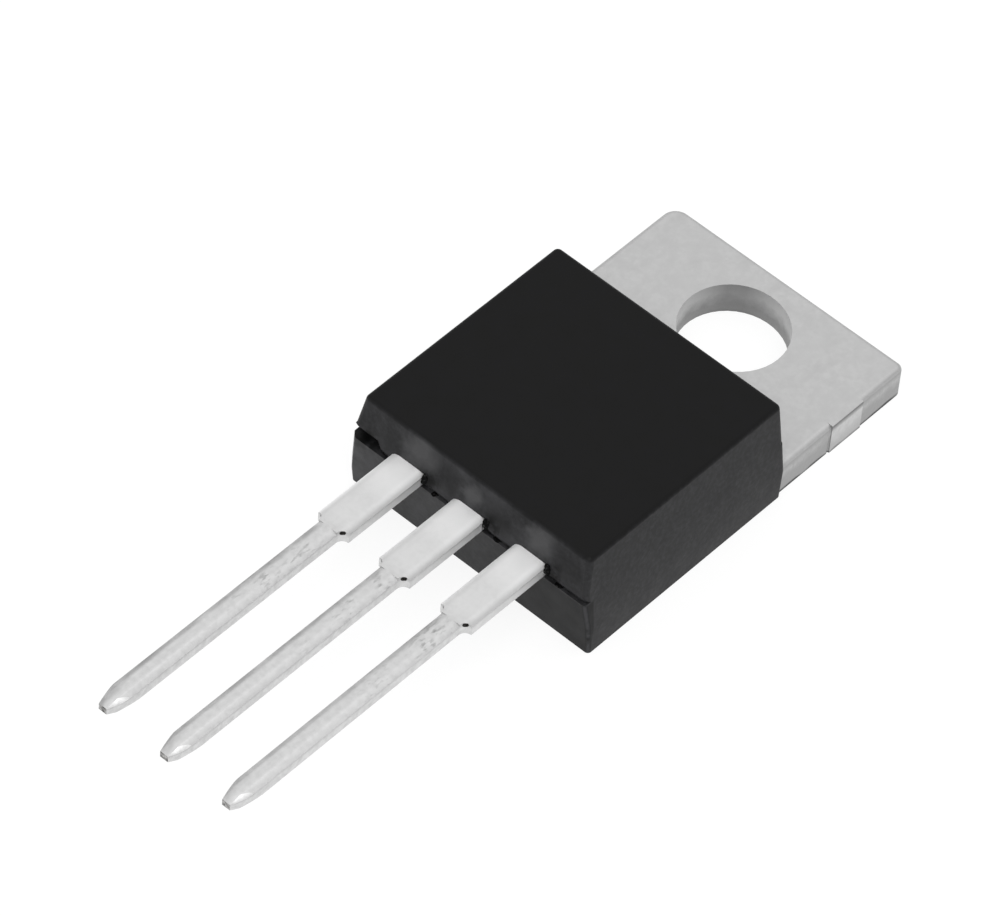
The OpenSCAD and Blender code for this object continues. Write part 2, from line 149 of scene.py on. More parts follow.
# %% [markdown]
# ## Masks
# A mark on a surface is a second colour mixed in by a mask, which is 1 where the mark is and
# 0 elsewhere. A mask comes from a place on the part or from noise. The product of two masks
# keeps a mark to where both allow it, so a mottled patch is one mask for the patch times one
# for the mottling. Every size is in real millimetres, because noise at the wrong scale is
# what most makes a small part look like a toy.

# %% Mask helpers
def calc(tree, operation, *values):
    """The result of a Math node on numbers or outputs."""
    return add(tree, "ShaderNodeMath", dict(enumerate(values)), operation=operation).outputs[0]


def vector_calc(tree, operation, *values):
    """The result of a Vector Math node, a number for a distance or a dot product."""
    made = add(tree, "ShaderNodeVectorMath", dict(enumerate(values)), operation=operation)
    return made.outputs["Value" if operation in ("DISTANCE", "DOT_PRODUCT") else "Vector"]


def ramp(tree, value, start, end, low=0.0, high=1.0):
    """low up to where value is start, high from where it is end, and straight between."""
    return add(tree, "ShaderNodeMapRange",
               {0: value, 1: start, 2: end, 3: low, 4: high}).outputs[0]


def all_of(tree, *masks):
    """The product of several masks: 1 only where every one of them is 1."""
    product = masks[0]
    for mask in masks[1:]:
        product = calc(tree, "MULTIPLY", product, mask)
    return product


def mix_colour(tree, factor, first, second):
    """The colour output of a Mix node between two hex colours or outputs."""
    first, second = (linear(c) if isinstance(c, str) else c for c in (first, second))
    return add(tree, "ShaderNodeMix", {0: factor, 6: first, 7: second},
               data_type="RGBA").outputs[2]


def size_to_scale(millimetres):
    """The Noise texture's scale that makes its blobs about this far apart."""
    return 1 / (millimetres * MM)


def noise_node(tree, vector, millimetres, **sockets):
    """A Noise texture of a real blob size."""
    return add(tree, "ShaderNodeTexNoise",
               {"Vector": vector, "Scale": size_to_scale(millimetres), **sockets})


def noise_at(tree, vector, millimetres, low, high, **sockets):
    """Noise of a real blob size, with its values between low and high stretched to 0..1."""
    blobs = noise_node(tree, vector, millimetres, **sockets)
    return ramp(tree, blobs.outputs[0], low, high)


def spot(tree, vector, centre, radius, core):
    """1 within core of a centre, falling to 0 at radius. All but the vector are in mm."""
    away = vector_calc(tree, "DISTANCE", vector, tuple(c * MM for c in centre))
    return ramp(tree, away, radius * MM, core * MM)


def blots(tree, place, spots):
    """Soft blots on the lead side: 1 at the middle of each (x, z, radius in mm), 0 outside."""
    flat = vector_calc(tree, "MULTIPLY", place, (1, 0, 1))
    deepest = 0.0
    for x, z, radius in spots:
        blot = spot(tree, flat, (x, 0, z), radius, 0.3 * radius)
        deepest = calc(tree, "MAXIMUM", blot, deepest)
    return deepest


def beside_lead(tree, x):
    """How far right of the nearest lead's middle a place lies."""
    return calc(tree, "WRAP", x, LEAD_PITCH / 2, -LEAD_PITCH / 2)


def bumped(tree, height, strength, millimetres):
    """The normal of a surface whose height runs over so many millimetres."""
    return add(tree, "ShaderNodeBump", {"Height": height, "Strength": strength,
                                        "Distance": millimetres * MM}).outputs[0]


def fine_grain(tree, place, millimetres):
    """The normal of a matt surface, with grains about so far apart."""
    grain = noise_node(tree, place, millimetres, Detail=3, Roughness=0.6)
    return bumped(tree, grain.outputs[0], 0.4, 0.006)


print("blobs 0.5 mm apart need a scale of", size_to_scale(0.5))

# %% [markdown]
# ## Mould compound
# The body is epoxy filled with crushed silica, pressed into a spark-eroded steel mould. It
# could be one plain dark colour, but then it would look like painted wood. The skin is
# matt with a fine grain, a little uneven where the flow came to rest, and greyer in mottled
# patches on the lead side. Pale and dark blots there are painted light and painted shade from
# the leads, and the gate's scar and the leads' roots have painted shadows. The filler
# swallows part of the gloss, so the specular level is well below that of clear epoxy.

# %% Marks on the lead side of the resin
FRONT_FROM, FRONT_FULL = BODY_LOW.y + 0.45 * MM, BODY_LOW.y + 0.38 * MM     # the lead side
# painted light and shade on the lead side, each blot as x, z and radius in mm: pale blots of
# reflected light above the leads, dark blots of shadow near them, and the shadow under the
# runner's scar
LEAD_GLOW_BLOTS = ((-2.2, 3.65, 0.9), (0.05, 3.5, 0.5), (2.75, 3.65, 0.75))
LEAD_SHADOW_BLOTS = ((-3.15, 3.4, 0.5), (-1.0, 3.5, 0.7), (1.25, 3.3, 0.7), (2.05, 3.9, 0.3),
              (3.9, 3.4, 0.8))
SCAR_SHADOW_BLOTS = ((-4.5, 2.35, 0.42), (-4.85, 2.4, 0.35))
FRONT_LEAN = 0.129                              # how steeply the lower front wall leans back
SIDE_LEAN_UP, SIDE_LEAN_DOWN = 0.1092, 0.0236   # the same for a side, above the tab and below
CORNER = 17.298 * MM            # x - y along the corner's painted highlight, with the leans taken off


def mottled_greyer(tree, place, front, colour):
    """Mottled greyer skin above the ledge, and below it on the gate's side."""
    x, _, z = add(tree, "ShaderNodeSeparateXYZ", {0: place}).outputs
    above = ramp(tree, z, LEDGE_Z - 0.02 * MM, LEDGE_Z, 0.0, 0.75)
    to_source = ramp(tree, x, 3.2 * MM, 4.2 * MM, 1.0, 0.4)
    from_gate = ramp(tree, x, -3.6 * MM, -2.4 * MM, 0.4, 1.0)
    gate_side = ramp(tree, x, 1 * MM, -5 * MM)
    below = ramp(tree, z, LEDGE_Z, LEDGE_Z - 0.02 * MM)
    where = calc(tree, "MAXIMUM", all_of(tree, above, to_source, from_gate),
                 all_of(tree, gate_side, below))
    mottled = noise_at(tree, place, 0.9, 0.3, 0.68, Detail=5, Roughness=0.62)
    return mix_colour(tree, all_of(tree, mottled, where, front), colour, "#3e3e40")


def painted_glow_and_shadows(tree, place, front, colour):
    """Painted reflected light in pale blots above the leads, painted shadow in dark blots near
    them, and a painted shadow under the runner's scar.
    """
    # noise shifts the place that the blots are measured from, so their outlines are ragged
    shift = noise_node(tree, place, 0.45, Detail=4).outputs["Color"]
    shift = vector_calc(tree, "SUBTRACT", shift, (0.5,) * 3)
    ragged = vector_calc(tree, "MULTIPLY_ADD", shift, (0.8 * MM,) * 3, place)
    z = add(tree, "ShaderNodeSeparateXYZ", {0: place}).outputs[2]
    upper = all_of(tree, calc(tree, "GREATER_THAN", z, LEDGE_Z), front)
    lead_glow, dark, scar_shadow = (blots(tree, ragged, spots)
                         for spots in (LEAD_GLOW_BLOTS, LEAD_SHADOW_BLOTS, SCAR_SHADOW_BLOTS))
    # painted shadow in the dark blots, painted reflected light in the pale ones, and a painted
    # shadow under the scar
    colour = mix_colour(tree, all_of(tree, dark, upper, 0.5), colour, "#161617")
    colour = mix_colour(tree, all_of(tree, lead_glow, upper, 0.85), colour, "#4a4a4b")
    return mix_colour(tree, all_of(tree, scar_shadow, front, 0.9), colour, "#050505")


def painted_root_shadow(tree, place, front, colour):
    """A patchy painted shadow just to the right of each lead's root, which repeats at the pitch.
    """
    x, _, z = add(tree, "ShaderNodeSeparateXYZ", {0: place}).outputs
    beside = add(tree, "ShaderNodeCombineXYZ", {0: beside_lead(tree, x), 2: z}).outputs[0]
    root_shadow = spot(tree, beside, (0.9, 0, LEDGE_Z / MM + 0.3), 0.65, 0.2)
    patchy = noise_at(tree, place, 0.35, 0.38, 0.58, Detail=4)
    return mix_colour(tree, all_of(tree, root_shadow, patchy, front), colour, "#040404")


def painted_corner_highlight(tree, place, lower, colour):
    """The right front corner of the lower half, with a painted highlight along a line that leans
    with it.
    """
    x, y, z = add(tree, "ShaderNodeSeparateXYZ", {0: place}).outputs
    across = calc(tree, "MULTIPLY_ADD", z, -FRONT_LEAN, calc(tree, "SUBTRACT", x, y))
    above_tab = calc(tree, "SUBTRACT", z, TAB_T)
    lean = calc(tree, "MAXIMUM", calc(tree, "MULTIPLY", above_tab, SIDE_LEAN_UP),
                calc(tree, "MULTIPLY", above_tab, -SIDE_LEAN_DOWN))
    across = calc(tree, "ADD", across, lean)
    rubbed = ramp(tree, across, CORNER - 0.036 * MM, CORNER, 0.0, 0.8)
    uneven = noise_at(tree, place, 0.5, 0.3, 0.5, Detail=3)
    return mix_colour(tree, all_of(tree, rubbed, lower, uneven), colour, "#414143")


print("lead side in front of y =", round(FRONT_FROM / MM, 2), "mm, with",
      len(LEAD_GLOW_BLOTS) + len(LEAD_SHADOW_BLOTS), "blots above the ledge")

# %% Mould compound material
def make_mould_compound():
    """Matt silica-filled epoxy: nearly black, dull from above, paler at a glancing angle."""
    material, tree, shader = new_material("silica_epoxy", IOR=1.5)
    place = add(tree, "ShaderNodeTexCoord").outputs["Object"]
    x, y, z = add(tree, "ShaderNodeSeparateXYZ", {0: place}).outputs
    below_top = ramp(tree, z, BODY_HIGH.z - 0.02 * MM, BODY_HIGH.z - 0.16 * MM)
    lower = ramp(tree, z, LEDGE_Z, LEDGE_Z - 0.1 * MM)
    front = all_of(tree, ramp(tree, y, FRONT_FROM, FRONT_FULL), below_top)
    # cloudy resin, black on the top face and a little greyer on the coarser walls; the top is
    # painted darker than the walls, as painted shade
    cloud = noise_at(tree, place, 0.7, 0.35, 0.65, Detail=4)
    top = mix_colour(tree, cloud, "#0a0a0a", "#0d0d0e")
    wall = mix_colour(tree, cloud, "#19191a", "#1e1e1f")
    colour = mix_colour(tree, below_top, top, wall)
    # silica grains show in the walls as fine specks
    specks = noise_at(tree, place, 0.16, 0.4, 0.8, Detail=2)
    colour = mix_colour(tree, all_of(tree, specks, below_top), colour, "#2b2b2d")
    colour = mottled_greyer(tree, place, front, colour)
    # below the ledge it is painted darker towards the source lead, as painted shade, and its
    # specular level is lower there
    shaded_and_duller = all_of(tree, ramp(tree, x, 0.5 * MM, 3 * MM), lower, front)
    colour = mix_colour(tree, shaded_and_duller, colour, "#121213")
    colour = painted_glow_and_shadows(tree, place, front, colour)
    colour = painted_root_shadow(tree, place, front, colour)
    colour = painted_corner_highlight(tree, place, lower, colour)
    # the eroded mould's grain is about 0.03 mm on the real one, and coarser here, to show
    feed(tree, shader, Base_Color=colour, Roughness=ramp(tree, cloud, 0.0, 1.0, 0.43, 0.5),
         Specular_IOR_Level=ramp(tree, shaded_and_duller, 0.0, 1.0, 0.14, 0.105),
         Normal=fine_grain(tree, place, 0.07))
    return material


mould_compound = make_mould_compound()
print("made", mould_compound.name)

# %% [markdown]
# ## Broken resin
# Where the runner was snapped off after moulding, the resin is torn, not moulded. It has no
# skin, so it is rougher, and its grains catch the light one by one. It needs its own
# material, with a coarse crumbly bump and pale specks of bare filler.

# %% Broken resin material
def make_broken_resin():
    """Torn epoxy: dark and crumbly, with no sheen and a few pale grains of silica."""
    material, tree, shader = new_material("broken_resin", IOR=1.5, Specular_IOR_Level=0.1,
                                          Roughness=0.85)
    place = add(tree, "ShaderNodeTexCoord").outputs["Object"]
    crumbs = noise_at(tree, place, 0.12, 0.35, 0.65, Detail=5, Roughness=0.7)
    specks = noise_at(tree, place, 0.09, 0.58, 0.7, Detail=3)
    colour = mix_colour(tree, crumbs, "#040404", "#0e0e0e")
    colour = mix_colour(tree, specks, colour, "#3a3a3a")
    feed(tree, shader, Base_Color=colour, Normal=bumped(tree, crumbs, 0.8, 0.03))
    return material


broken_resin = make_broken_resin()
print("made", broken_resin.name)

# %% [markdown]
# ## Plated tab
# The tab is copper with a thin satin coat of nickel. Its upper face was rolled, then blasted,
# plated and handled, so it is a soft even grey with hardly any direction, a fine grain, and
# a few rub marks where parts slid over each other in the tube.

# %% Plated tab material
def make_plated_tab():
    """Satin nickel: an even light grey metal whose reflections are all blurred."""
    material, tree, shader = new_material("satin_nickel", Metallic=1.0)
    place = add(tree, "ShaderNodeTexCoord").outputs["Object"]
    cloud = noise_at(tree, place, 1.6, 0.35, 0.65, Detail=4)
    colour = mix_colour(tree, cloud, "#c9c9c9", "#cdcdcd")
    # rub marks half a millimetre across, a little drawn out along the part, hardly seen
    along = vector_calc(tree, "MULTIPLY", place, (1, 0.6, 1))
    rubbed = noise_at(tree, along, 0.45, 0.45, 0.75, Detail=5, Roughness=0.6)
    colour = mix_colour(tree, rubbed, colour, "#c1c1c1")
    # soft marks of the blasting, a fifth of a millimetre across, so that they show
    marks = noise_at(tree, place, 0.2, 0.35, 0.8, Detail=3)
    colour = mix_colour(tree, marks, colour, "#c4c4c4")
    # painted shade: the plating is painted darker over the rolled upper edges
    z = add(tree, "ShaderNodeSeparateXYZ", {0: place}).outputs[2]
    rolled = ramp(tree, z, TAB_T - 0.01 * MM, TAB_T - 0.17 * MM, 0.0, 0.6)
    colour = mix_colour(tree, rolled, colour, "#a0a0a0")
    feed(tree, shader, Base_Color=colour, Roughness=ramp(tree, cloud, 0.0, 1.0, 0.52, 0.6),
         Normal=fine_grain(tree, place, 0.09))
    return material


plated_tab = make_plated_tab()
print("made", plated_tab.name)

# %% [markdown]
# ## Sheared edges
# A punch first rubs the edge smooth and then the rest tears off, so a sheared edge has a
# bright upper zone, a dull broken zone below it, pores and streaks in the punch's direction,
# and here and there a dark burr at its foot, also painted as shade where the tab meets the
# table. The rolled rim above it is painted darker, as painted shade. One material can draw
# all of this from the height. The tab's outer sides, the wall of its hole and the stub of the
# cut tie bar were cut by different tools and differ in tone, and the hole's wall is painted
# darker as painted shade, so the same recipe is used with three sets of greys. The hole is
# painted lighter on two opposite sides, as painted light.

# %% Sheared edge materials
HOLE_ACROSS = (0.788, 0.616, 0)         # the direction from one side painted lighter to the other


def make_sheared_edge(name, rubbed, torn, rim, shade_span, seam, burr_and_shade, lit_sides=None):
    """Punched metal edge: rubbed above the seam's height, torn below it, painted dark at its
    rims as painted shade.

    shade_span is how far below the tab's top the rim's painted shade ends and where it is full,
    seam is a height, all in mm, and burr_and_shade is how strong the foot's dark burr and its
    painted shade are."""
    material, tree, shader = new_material(name, Metallic=1.0)
    place = add(tree, "ShaderNodeTexCoord").outputs["Object"]
    z = add(tree, "ShaderNodeSeparateXYZ", {0: place}).outputs[2]
    wander = noise_at(tree, place, 0.35, 0.3, 0.7, Detail=5, Roughness=0.65)
    height = calc(tree, "MULTIPLY_ADD", wander, -0.3 * MM, z)
    zone = ramp(tree, height, (seam - 0.4) * MM, (seam + 0.1) * MM)
    colour = mix_colour(tree, zone, torn, rubbed)
    # pores and streaks about 0.1 mm wide, drawn out with the punch through the thickness
    through = vector_calc(tree, "MULTIPLY", place, (1, 1, 0.6))
    streaks = noise_at(tree, through, 0.11, 0.42, 0.7, Detail=4)
    colour = mix_colour(tree, all_of(tree, streaks, 0.75), colour, torn)
    # the dark burr at the foot, partly painted shade where the tab meets the table, in stretches
    # some millimetres long
    slow = noise_at(tree, place, 0.8, 0.3, 0.7, Detail=1)
    lip = calc(tree, "MULTIPLY_ADD", slow, -0.1 * MM, z)
    foot = all_of(tree, ramp(tree, lip, 0.08 * MM, 0.01 * MM, 0.0, burr_and_shade),
                  noise_at(tree, place, 1.8, 0.3, 0.46))
    colour = mix_colour(tree, foot, colour, "#4c4c4c")
    # painted shade on the rolled rim at the top of the edge
    shade_from, shade_full = (TAB_T - down * MM for down in shade_span)
    colour = mix_colour(tree, ramp(tree, z, shade_from, shade_full), colour, rim)
    # painted light: two opposite sides of the hole's wall are painted lighter
    if lit_sides:
        across = vector_calc(tree, "DOT_PRODUCT", place, HOLE_ACROSS)
        sides = ramp(tree, calc(tree, "ABSOLUTE", across), 0.3 * MM, 1.6 * MM)
        colour = mix_colour(tree, sides, colour, mix_colour(tree, zone, *lit_sides))
    feed(tree, shader, Base_Color=colour, Roughness=ramp(tree, zone, 0.0, 1.0, 0.7, 0.55),
         Normal=bumped(tree, streaks, 0.5, 0.01))
    return material


sheared_side = make_sheared_edge("sheared_side", rubbed="#c2c2c2", torn="#b0b0b0",
                                 rim="#aaaaaa", shade_span=(0.42, 0.2), seam=0.8, burr_and_shade=0.9)
# painted shade: the hole's wall has darker greys than the outer sides
shaded_punched_hole = make_sheared_edge("shaded_punched_hole", rubbed="#959595", torn="#929292",
                                 rim="#8e8e8e", shade_span=(0.4, 0.05), seam=0.6, burr_and_shade=0.15,
                                 lit_sides=("#a4a4a4", "#c2c2c2"))
cut_tie_bar = make_sheared_edge("cut_tie_bar", rubbed="#cecece", torn="#c2c2c2",
                                rim="#868686", shade_span=(0.28, 0.08), seam=0.5, burr_and_shade=0.5)
print("made", sheared_side.name, shaded_punched_hole.name, cut_tie_bar.name)

# %% [markdown]
# ## Matt tin
# The leads are dipped or plated with matt tin so that solder wets them. Fresh tin is nearly
# white with a soft grain, and so soft that every tool leaves a trace: short scuffs just past
# the shoulder. The narrow part's left edge is painted darker, as painted shade, and the rolled
# edges are painted darker on the right, as painted shade, and paler on the left, as a painted
# highlight. Near the body the tin is painted paler still, as painted light.

# %% Matt tin material
def painted_light_root(tree, y, colour):
    """Painted light on the tin: paler on the broad part, nearly white at the body."""
    broad = ramp(tree, y, SHOULDER_Y, SHOULDER_Y + 0.6 * MM, 0.0, 0.5)
    colour = mix_colour(tree, broad, colour, "#e6e6e6")
    root = ramp(tree, y, BODY_LOW.y - 1.8 * MM, BODY_LOW.y + 0.1 * MM)
    return mix_colour(tree, root, colour, "#fcfcfc")


def scuffed(tree, along, place, y, narrow, colour):
    """Short lengthwise scuffs in loose patches, most of them just past the shoulder."""
    scuffs = noise_at(tree, along, 0.12, 0.52, 0.74, Detail=2)
    near = ramp(tree, y, SHOULDER_Y - 5 * MM, SHOULDER_Y - 2.5 * MM, 0.15, 1.0)
    patches = noise_at(tree, place, 0.9, 0.4, 0.6)
    return mix_colour(tree, all_of(tree, scuffs, narrow, near, patches), colour, "#a0a0a0")


def shaded_left_edge(tree, along, x, y, narrow, colour):
    """The narrow part's left rolled edge in painted shade, most on the gate lead."""
    taper = ramp(tree, y, TIP_Y + 1.4 * MM, TIP_Y, 0.0, 0.24 * MM)
    inwards = calc(tree, "SUBTRACT", beside_lead(tree, x), taper)
    edge = ramp(tree, inwards, -0.1 * MM, -0.31 * MM, 0.0, 0.85)
    most_on_gate = ramp(tree, x, -LEAD_PITCH, LEAD_PITCH, 1.0, 0.45)
    patchy = noise_at(tree, along, 0.3, 0.25, 0.6, Detail=3)
    return mix_colour(tree, all_of(tree, edge, most_on_gate, narrow, patchy), colour, "#9e9e9e")


def make_matte_tin():
    """Matt tin: the palest metal here, softly clouded and lightly marked."""
    material, tree, shader = new_material("matte_tin", Metallic=1.0)
    place = add(tree, "ShaderNodeTexCoord").outputs["Object"]
    x, y, z = add(tree, "ShaderNodeSeparateXYZ", {0: place}).outputs
    along = vector_calc(tree, "MULTIPLY", place, (1, 0.4, 1))       # for marks drawn out in Y
    narrow = ramp(tree, y, SHOULDER_Y, SHOULDER_Y - 0.3 * MM, 0.1, 0.9)
    cloud = noise_at(tree, place, 0.6, 0.35, 0.65, Detail=4)
    colour = mix_colour(tree, cloud, "#d8d8d8", "#dedede")
    colour = scuffed(tree, along, place, y, narrow, colour)
    # soft grey marks all over, where the dip ran off
    marks = noise_at(tree, place, 0.2, 0.4, 0.85, Detail=3)
    colour = mix_colour(tree, marks, colour, "#d0d0d0")
    colour = shaded_left_edge(tree, along, x, y, narrow, colour)
    colour = painted_light_root(tree, y, colour)
    # the rolled edges: the right one is painted darker all along, as painted shade, and the
    # broad part's left one painted bright, as a painted highlight
    beside = beside_lead(tree, x)
    rolled = ramp(tree, z, LEAD_TOP - 0.005 * MM, LEAD_TOP - 0.08 * MM)
    shaded_right = ramp(tree, beside, 0.35 * MM, 0.5 * MM, 0.0, 0.35)
    lit_left = ramp(tree, beside, -0.4 * MM, -0.5 * MM)
    colour = mix_colour(tree, all_of(tree, rolled, shaded_right), colour, "#b0b0b0")
    colour = mix_colour(tree, all_of(tree, rolled, lit_left), colour, "#f8f8f8")
    feed(tree, shader, Base_Color=colour, Roughness=ramp(tree, cloud, 0.0, 1.0, 0.66, 0.76),
         Normal=fine_grain(tree, place, 0.08))
    return material


matte_tin = make_matte_tin()
print("made", matte_tin.name)

# %% [markdown]
# ## Cut metal on the leads, with painted light and shade
# The leads' sides were sheared too, but their tin hides most of it: they are a little cloudy,
# with a soft line of painted shade where the rolled edge ends. The tips were cut after
# tinning, so their blunt ends show dull bare metal. The bevels at their right are smoother and
# painted nearly white, as painted highlights, the brightest spots of all. The tie-bar cutter
# left a pit in each shoulder, and the one at the right is painted dark, as painted shade.

# %% Materials of the leads' cut faces
def make_cut_lead(name, light, dark, blobs, shade_line_z=None, **sockets):
    """Bare or thinly tinned cut metal: two cloudy greys, with a line of painted shade up to
    shade_line_z.
    """
    material, tree, shader = new_material(name, Metallic=1.0, **sockets)
    place = add(tree, "ShaderNodeTexCoord").outputs["Object"]
    streaks = noise_at(tree, place, blobs, 0.35, 0.65, Detail=4, Roughness=0.6)
    colour = mix_colour(tree, streaks, dark, light)
    if shade_line_z:
        _, y, z = add(tree, "ShaderNodeSeparateXYZ", {0: place}).outputs
        # painted shade: a darker line where the rolled edge ends
        rim = ramp(tree, z, shade_line_z - 0.12 * MM, shade_line_z, 0.0, 0.5)
        colour = mix_colour(tree, rim, painted_light_root(tree, y, colour), "#b4b4b4")
    feed(tree, shader, Base_Color=colour, Normal=bumped(tree, streaks, 0.5, 0.008))
    return material


tinned_side = make_cut_lead("tinned_side", "#e2e2e2", "#d2d2d2", 0.25, ROLL_FOOT,
                            Roughness=0.6)
cut_tip = make_cut_lead("cut_tip", "#d0cfce", "#545352", 0.2, Roughness=0.55)
# painted highlight: the bevels at the right of a tip are painted nearly white
highlighted_facet = make_cut_lead("highlighted_facet", "#f4f4f4", "#e2e2e2", 0.3, Roughness=0.4)
# painted shade: the pit in a lead's right shoulder is painted dark
shaded_pit = make_cut_lead("shaded_pit", "#8c8a88", "#4a4846", 0.08, Roughness=0.8)
print("made", tinned_side.name, cut_tip.name, highlighted_facet.name, shaded_pit.name)

# %% [markdown]
# ## The parts sealed inside
# The chip, its solder and its bond wires can't be seen, but whoever takes the model apart
# meets them. The chip is silicon with metal cells on top, the solder is dull soft metal, and
# the wires are drawn aluminium.

# %% Materials of the sealed parts
def make_soft_metal(name, light, dark, blobs, stretch, **sockets):
    """Soft inner metal: two greys clouded at one size, stretched along one axis."""
    material, tree, shader = new_material(name, Metallic=1.0, **sockets)
    place = add(tree, "ShaderNodeTexCoord").outputs["Object"]
    drawn = vector_calc(tree, "MULTIPLY", place, stretch)
    cloud = noise_at(tree, drawn, blobs, 0.35, 0.65, Detail=3)
    feed(tree, shader, Base_Color=mix_colour(tree, cloud, dark, light),
         Normal=bumped(tree, cloud, 0.3, 0.01))
    return material


def make_silicon():
    """A power chip: blue-grey silicon under aluminium that lies in fine parallel cells."""
    material, tree, shader = new_material("silicon_chip", Metallic=1.0, Roughness=0.3)
    place = add(tree, "ShaderNodeTexCoord").outputs["Object"]
    # real cells are some micrometres wide; these are 0.1 mm, so that they show
    cells = add(tree, "ShaderNodeTexWave", {"Vector": place, "Scale": size_to_scale(2.0)},
                wave_type="BANDS", bands_direction="X", wave_profile="TRI")
    lines = ramp(tree, cells.outputs[1], 0.05, 0.2)
    feed(tree, shader, Base_Color=mix_colour(tree, lines, "#50555f", "#8a8e96"))
    return material


soft_solder = make_soft_metal("dull_solder", "#9a9da1", "#83868a", 0.4, (1, 1, 1),
                              Roughness=0.45)
drawn_wire = make_soft_metal("drawn_aluminium", "#d0d3d6", "#b9bcc0", 0.08, (1, 0.2, 1),
                             Roughness=0.3)
silicon_chip = make_silicon()
for node, finish in (("die_attach_solder", soft_solder), ("silicon_die", silicon_chip),
                     ("gate_wire", drawn_wire), ("source_wire_inner", drawn_wire),
                     ("source_wire_outer", drawn_wire)):
    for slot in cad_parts[node].material_slots:
        slot.material = finish
    print(node, "is", finish.name)

# %% [markdown]
# ## Clean copies of the visible nodes
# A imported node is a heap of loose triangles. A copy is welded at its corners, its flat
# faces are joined up, its sharp corners are marked, and the rest shades smoothly with
# normals weighted by face size, so that flat faces stay flat beside rolled edges.

# %% Weld a copy of a node and make a piece of it
WELD = 0.002 * MM
FLAT = math.radians(0.3)        # faces that meet at less than this are one face
SHARP = 32                      # degrees at which an edge stops shading smoothly


def welded(node):
    """A bmesh of a node with its triangles joined up into clean faces."""
    shape = bmesh.new()
    shape.from_mesh(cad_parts[node].data)
    bmesh.ops.remove_doubles(shape, verts=shape.verts, dist=WELD)
    bmesh.ops.dissolve_degenerate(shape, edges=shape.edges, dist=WELD)
    bmesh.ops.dissolve_limit(shape, angle_limit=FLAT, verts=shape.verts, edges=shape.edges)
    return shape


def as_piece(shape, name, node, slot, *materials, sharp=SHARP):
    """Turns a bmesh into a piece that stands for a node and rides on the part."""
    for face in shape.faces:
        face.smooth = True
    for edge in shape.edges:
        edge.smooth = len(edge.link_faces) == 2 and edge.calc_face_angle() < math.radians(sharp)
    mesh = bpy.data.meshes.new(name)
    shape.to_mesh(mesh)
    shape.free()
    for material in materials:
        mesh.materials.append(material)
    piece = bpy.data.objects.new(name, mesh)
    bpy.context.scene.collection.objects.link(piece)
    weighted = piece.modifiers.new("weighted_normals", "WEIGHTED_NORMAL")
    weighted.keep_sharp = True
    weighted.weight = 100
    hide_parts(node)
    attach(piece, "root")
    print(name, len(mesh.vertices), "corners,", len(mesh.polygons), "faces,",
          len(materials), "finishes")


print("welding corners closer than", WELD / MM, "mm")

# %% [markdown]
# ## The resin body
# The break at the gate has a torn surface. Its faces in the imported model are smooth, so here
# they are cut up finely and their corners are pushed about by noise, in place. A displace
# modifier could do that too, but it would need a group of corners and a texture, and this
# way shows plainly what moves. The noise takes its seed from the clock unless it is given
# one, and the edges are cut in the order of the faces, so every run tears the same way.

# %% Tear the gate scar
noise.seed_set(3)
SCAR_TOP = 2.975
SCAR = ((-5.1, -3.42), (-12.8, -12.2), (2.482, SCAR_TOP))   # its reach in x, y and z, in mm
LONGEST = 0.06 * MM                                         # longer edges there are halved


def in_scar(face):
    """Whether a face belongs to the break at the left front corner above the ledge."""
    centre = face.calc_center_median() / MM
    return (all(low < c < high for c, (low, high) in zip(centre, SCAR))
            and max(v.co.z for v in face.verts) < SCAR_TOP * MM)


def tear(shape, depth, crumb):
    """Cuts the scar's faces up finely and pushes their inner corners about, both in mm."""
    cut = [f for f in shape.faces if in_scar(f)]
    for _ in range(4):
        cut = bmesh.ops.triangulate(shape, faces=cut)["faces"]
        inside = set(cut)
        edges = [e for e in dict.fromkeys(e for f in cut for e in f.edges)
                 if e.calc_length() > LONGEST and all(f in inside for f in e.link_faces)]
        bmesh.ops.subdivide_edges(shape, edges=edges, cuts=1)
        cut = [f for f in shape.faces if in_scar(f)]
    cut = bmesh.ops.triangulate(shape, faces=cut)["faces"]
    inside = set(cut)
    corners = [v for v in dict.fromkeys(v for f in cut for v in f.verts)
               if all(f in inside for f in v.link_faces)]
    for corner in corners:
        corner.co += noise.noise_vector(corner.co / (crumb * MM)) * depth * MM
    for face in cut:
        face.material_index = 1
    print("tore", len(cut), "faces and moved", len(corners), "corners")
    return shape


resin = tear(welded("moulded_body"), depth=0.07, crumb=0.16)

# %% [markdown]
# ## Crumbled resin along the ledge
# Where the thin flash between the leads was trimmed, crumbs of resin broke out of the ledge
# here and there, and a crust of it stayed at the right of each lead's root. Both are small
# lumpy balls. An exact boolean takes the crumbs out of the body and leaves their walls in the
# broken resin's finish, and the crusts are a piece of their own that sits on the body.
# Painting them on would leave them shiny and flat when seen from the side.

# %% Break crumbs out of the resin
LUMP_Y, LUMP_DEPTH = -12.6, 0.13    # where all the lumpy balls stand and half their depth, in mm
CRUMBS = ((-1.36, 2.47, 0.11, 0.075), (1.2, 2.49, 0.16, 0.035), (3.74, 2.49, 0.17, 0.05))


def lumpy_ball(shape, place, radii, number, depth=0.045, crumb=0.1):
    """Adds a small stretched ball, made uneven by noise that its number picks; all in mm."""
    matrix = (Matrix.Translation(Vector(place) * MM)
              @ Matrix.Diagonal((*(Vector(radii) * MM), 1)))
    ball = bmesh.ops.create_icosphere(shape, subdivisions=4, radius=1, matrix=matrix)["verts"]
    for corner in ball:
        away = noise.noise_vector(corner.co / (crumb * MM) + Vector((number, 0, 0)))
        corner.co += away * depth * MM


